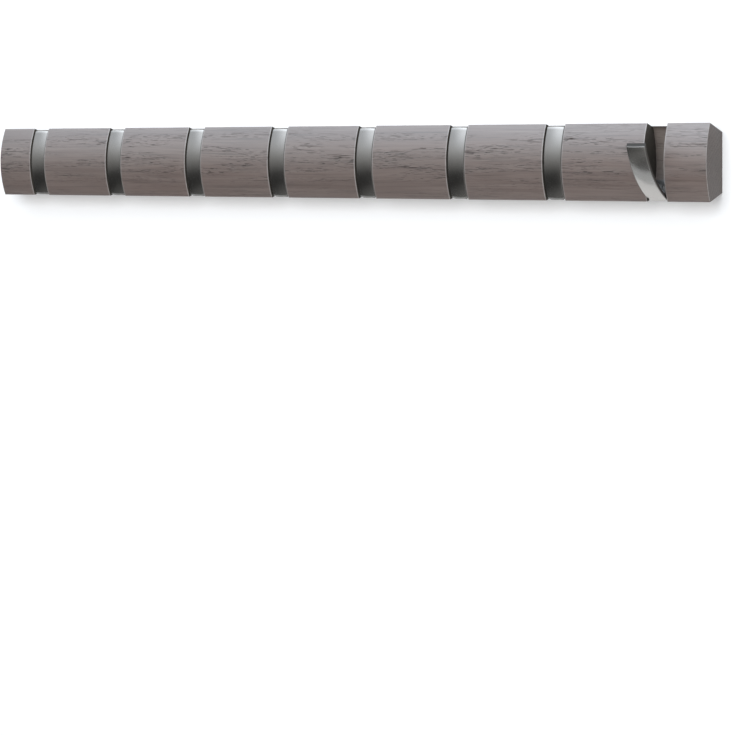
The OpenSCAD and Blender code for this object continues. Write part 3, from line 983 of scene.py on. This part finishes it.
def satin_nickel():
    """Brushed satin plate, cloudy where hands polished it; ends and back left matt, sides and roll
    painted shade.
    """
    material, tree, shader = new_material("satin_nickel")
    uv = add_node(tree, "ShaderNodeUVMap", uv_map="across_and_along").outputs[0]
    place = object_position(tree)
    brushing = noise(tree, stretched(tree, uv, 150, 9000, 1), 2.0, 0.6)
    cloud = speckle(tree, place, 60)
    grain = speckle(tree, place, 3200)
    dull_and_shade = mark(tree, "unpolished")
    colour = blend_colour(tree, cloud.between(0.3, 0.7), (0.440, 0.420, 0.396), (0.464, 0.444, 0.420))
    colour = blend_colour(tree, brushing.between(0.35, 0.65) * 0.12, colour, (0.30, 0.30, 0.30))
    # Light worn edges, and the tip's rim, which is partly a painted highlight.
    colour = blend_colour(tree, mark(tree, "edge_wear") * 0.85, colour, (0.74, 0.72, 0.69))
    # Matt ends and back, and painted shade on the sides and the rolled-under bottom.
    colour = blend_colour(tree, dull_and_shade * 0.92, colour, (0.050, 0.048, 0.045))
    roughness = cloud * 0.05 + brushing * 0.08 + 0.15 + dull_and_shade * 0.25
    finish_metal(tree, shader, colour, roughness, brushing + grain * 0.3, 0.000006, 0.5)
    return material


bore = turned("pin_bore", [
    (-hook_width, 0), (-hook_width, bore_radius), (hook_width, bore_radius), (hook_width, 0),
])
bore.transform(Matrix.Translation((0, pin_y * MM, pin_z * MM)))
hook_mesh = outward(cut(cut(hook_blade(), knuckle(), "UNION"), bore))
nickel = satin_nickel()
for number, joint in enumerate(frame["joints"], start=1):
    pin = Vector(joint["pos_m"])
    swing = -math.radians(min(joint["range_deg"]))
    at_origin = Matrix.Translation((0, -pin.y, -pin.z))
    mesh = hook_mesh.copy()
    mesh.name = f"hook_{number}_metal"
    mesh.transform(Matrix.Translation(pin) @ Matrix.Rotation(swing, 4, "X") @ at_origin)
    hook = new_piece(f"hook_{number}_blade", mesh, nickel)
    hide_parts(f"hook_{number}")
    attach(hook, joint["child"])

# Hinge pins and friction washers. Each pin is a turned steel rivet through the bracket's ears
# and the hook's knuckle, its ends headed over. A washer of spring strip on each side of the
# knuckle gives the drag that keeps a closed hook shut.
pin_radius = 1.0
pin_head = 0.6
pin_rim_height = 0.15
pin_rim_radius = pin_radius + 0.5
washer_thickness = 0.4
washer_gap = 0.1
ear_thickness = 1.5
ear_inner = knuckle_width / 2 + 2 * washer_gap + washer_thickness
ear_outer = ear_inner + ear_thickness
washer_radius = 1.7
washer_edge_round = 0.08


def spring_steel():
    """Blued spring strip, dark with straw and violet tints, rubbed bright in places."""
    material, tree, shader = new_material("spring_steel")
    place = object_position(tree)
    tint = speckle(tree, place, 500)
    rubbing = speckle(tree, place, 3000, 2.0, 0.6)
    colour = blend_colour(tree, tint.between(0.35, 0.65), (0.13, 0.14, 0.19), (0.27, 0.22, 0.17))
    colour = blend_colour(tree, rubbing.between(0.55, 0.75) * 0.5, colour, (0.45, 0.45, 0.45))
    finish_metal(tree, shader, colour, rubbing * 0.2 + 0.22, rubbing, 0.000008)
    return material


rim_end = ear_outer + pin_rim_height
head_end = ear_outer + pin_head
half_rivet = [
    (ear_outer, pin_radius), (ear_outer, pin_rim_radius - 0.05), (rim_end, pin_rim_radius),
    *[(rim_end + (head_end - rim_end) * math.sin(t), pin_rim_radius * (0.35 + 0.65 * math.cos(t)))
      for t in dome_turns],
    (head_end, 0),
]
rivet = turned("hinge_pin", [(-x, r) for x, r in half_rivet[::-1]] + half_rivet)
for number, joint in enumerate(frame["joints"], start=1):
    mesh = rivet.copy()
    mesh.name = f"hinge_pin_{number}_steel"
    mesh.transform(Matrix.Translation(joint["pos_m"]))
    pin_piece = new_piece(f"hinge_pin_{number}_rivet", mesh, steel)
    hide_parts(f"hinge_pin_{number}")
    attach(pin_piece, "root")

blued = spring_steel()
half = washer_thickness / 2
half_washer = [
    (half - washer_edge_round, washer_radius), (half, washer_radius - washer_edge_round),
    (half, bore_radius),
]
washer_profile = [(-x, r) for x, r in half_washer[::-1]] + half_washer + [(-half, bore_radius)]
washer_pair = []
for side in (-1, 1):
    middle = side * (knuckle_width / 2 + washer_gap + half)
    washer = turned("friction_washer", washer_profile, 40)
    washer.transform(Matrix.Translation((middle * MM, pin_y * MM, pin_z * MM)))
    washer_pair.append(washer)
washers_mesh = row("friction_washers_spring", merged(washer_pair), *every_hook, blued)
washers_mesh = outward(washers_mesh, fine_sharp_from)
washers = new_piece("friction_washers_spring", washers_mesh, blued)
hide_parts("friction_washers")
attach(washers, "root")

# Studio. The white wall that the rack hangs on, a pale floor below, a room that is bright above,
# dim below and paler at its far sides, and one low soft lamp in front. Wall and floor are clear
# from behind and the wall is open behind the rail, so that the rack's back can be seen. In metres.
eye = (1.326, -1.930, 0.0037)
eye_turn = 33.78
lens = 118.8
sensor_width = 36
eye_shift = -0.285
floor_z = -1.60
floor_front = -0.6
studio_reach = 7.0
wall_y = 0.0004
wall_lap = 0.002


def flat_sheet(name, corners, faces, material):
    """A sheet of the studio, which isn't part of the rack."""
    mesh = bpy.data.meshes.new(name)
    mesh.from_pydata(corners, [], faces)
    mesh.materials.append(material)
    add_object(name, mesh)


def studio_paint(name, colour, glow):
    """Matt paint that is clear from behind and a little lighter to the camera and in reflections."""
    material, tree, shader = new_material(name)
    shader.inputs["Base Color"].default_value = (*colour, 1)
    shader.inputs["Roughness"].default_value = 0.9
    shader.inputs["Specular IOR Level"].default_value = 0.1
    rays = add_node(tree, "ShaderNodeLightPath").outputs
    seen = Field(tree, rays["Is Camera Ray"]).math("MAXIMUM", Field(tree, rays["Is Glossy Ray"]))
    seen = seen.math("MAXIMUM", Field(tree, rays["Is Transmission Ray"]))
    shader.inputs["Emission Color"].default_value = (1, 1, 1, 1)
    connect(tree, shader.inputs["Emission Strength"], seen * glow)
    behind = add_node(tree, "ShaderNodeNewGeometry").outputs["Backfacing"]
    clear = add_node(tree, "ShaderNodeBsdfTransparent").outputs[0]
    mixed = add_node(tree, "ShaderNodeMixShader", {0: behind, 1: shader.outputs[0], 2: clear})
    connect(tree, tree.nodes["Material Output"].inputs["Surface"], mixed.outputs[0])
    return material


def rectangle(reach, low, high):
    """Corners of a rectangle from -reach to reach and from low to high."""
    return [(-reach, low), (reach, low), (reach, high), (-reach, high)]


gap_x = half_length * MM - wall_lap
gap_z = (half_height - bevel_drop) * MM - wall_lap
wall_outline = rectangle(studio_reach, floor_z, studio_reach) + rectangle(gap_x, -gap_z, gap_z)
wall_corners = [(x, wall_y, z) for x, z in wall_outline]
wall_faces = [(k, (k + 1) % 4, 4 + (k + 1) % 4, 4 + k) for k in range(4)]
flat_sheet("wall", wall_corners, wall_faces, studio_paint("wall_paint", (0.79, 0.79, 0.79), 0.25))
floor_corners = [(x, y, floor_z) for x, y in rectangle(studio_reach, floor_front, studio_reach)]
flat_sheet("floor", floor_corners, [(0, 1, 2, 3)], studio_paint("floor_paint", (0.60, 0.60, 0.59), 0.0))


def soft_lamp(name, azimuth, elevation, distance, size, power, colour):
    """A square lamp that looks at the middle of the rack."""
    lamp = bpy.data.lights.new(name, "AREA")
    lamp.size = size
    lamp.energy = power
    lamp.color = colour
    light = add_object(name, lamp)
    a, e = math.radians(azimuth), math.radians(elevation)
    out = distance * math.cos(e)
    light.location = (out * math.sin(a), -out * math.cos(a), distance * math.sin(e))
    light.rotation_euler = (math.pi / 2 - e, 0, a)
    light.visible_camera = False
    light.visible_glossy = False


soft_lamp("key", azimuth=8, elevation=12, distance=2.6, size=1.6, power=38, colour=(0.98, 0.99, 1.0))

world = bpy.data.worlds.new("room")
bpy.context.scene.world = world
world.use_nodes = True
room = world.node_tree
across, _, up = axes(room, add_node(room, "ShaderNodeTexCoord").outputs["Generated"])
ramp = room.nodes.new("ShaderNodeValToRGB")
connect(room, ramp.inputs[0], up * 0.5 + 0.5)
# The room's brightness by height, from straight down at 0 to straight up at 1.
levels = (
    (0.000, 0.12), (0.110, 0.14), (0.150, 0.24), (0.206, 0.14), (0.297, 0.035),
    (0.396, 0.055), (0.500, 0.29), (0.570, 0.49), (0.638, 0.78), (0.750, 1.42),
    (0.828, 1.86), (0.870, 1.64), (0.940, 1.15), (1.000, 0.95),
)
while len(ramp.color_ramp.elements) < len(levels):
    ramp.color_ramp.elements.new(0.5)
for element, (position, level) in zip(ramp.color_ramp.elements, levels):
    element.position = position
    blue = 0.09 * max(0.0, min(1.0, (position - 0.5) * 4))
    element.color = (level * (0.98 - blue * 0.6), level, level * (1.0 + blue), 1)
low_down = up.between(-0.05, 0.35) * -1 + 1
far_sides = (across.between(-0.18, 0.0) + across.between(-0.91, -0.97)) * low_down
high_at_sides = across.math("ABSOLUTE").between(0.28, 0.72) * up.between(0.20, 0.50)
room_colour = blend_colour(room, far_sides, ramp.outputs[0], (0.50, 0.50, 0.50))
background = room.nodes["Background"]
connect(room, background.inputs["Color"], room_colour)
connect(room, background.inputs["Strength"], high_at_sides * -0.40 + 1.0)

camera_data = bpy.data.cameras.new("camera")
camera_data.lens = lens
camera_data.sensor_width = sensor_width
camera_data.shift_y = eye_shift
camera = add_object("camera", camera_data)
camera.location = eye
camera.rotation_euler = (math.pi / 2, 0, math.radians(eye_turn))
bpy.context.scene.camera = camera
bpy.context.scene.view_settings.view_transform = "Standard"
